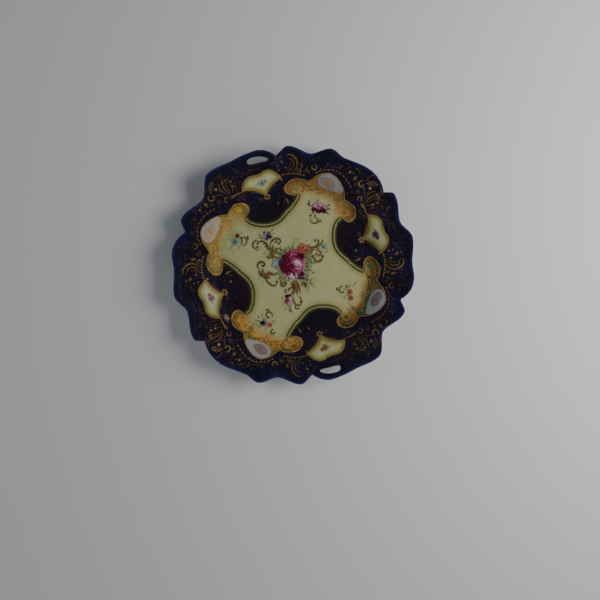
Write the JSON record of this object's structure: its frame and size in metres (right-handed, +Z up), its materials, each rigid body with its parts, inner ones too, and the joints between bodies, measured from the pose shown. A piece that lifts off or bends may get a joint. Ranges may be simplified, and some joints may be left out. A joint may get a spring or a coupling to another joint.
{
  "type": "dinner plate",
  "caption": "China dinner plate with a ruffled rim, pierced handles and a foot ring, in cobalt glaze round a cream painted reserve framed in raised gilding.",
  "frame": {"origin": "middle of the foot ring's base, which is the bottom centre of the plate's box", "axes": "+Z up out of the face, across the plate's thickness; +Y is the top of the painted pattern, and the handles lie 20 degrees anticlockwise of +Y and of -Y"},
  "size_m": [0.2634, 0.259, 0.0257],
  "materials": {
    "porcelain": "cobalt glaze on the face, white glaze below",
    "reserve_glaze": "cream ground, painted and shaded ochre",
    "enamel": "raised overglaze enamel",
    "flower_enamel": "painted overglaze enamel",
    "gilding": "worn burnished gold"
  },
  "bodies": {
    "root": {"porcelain_body": "porcelain", "reserve_gilt_line": "gilding", "cartouche_gilt_top": "gilding", "cartouche_gilt_right": "gilding", "cartouche_gilt_bottom": "gilding", "cartouche_gilt_left": "gilding", "medallion_enamel_ne": "enamel", "medallion_enamel_se": "enamel", "medallion_enamel_sw": "enamel", "medallion_enamel_nw": "enamel", "rose_enamel": "flower_enamel"}
  },
  "joints": []
}
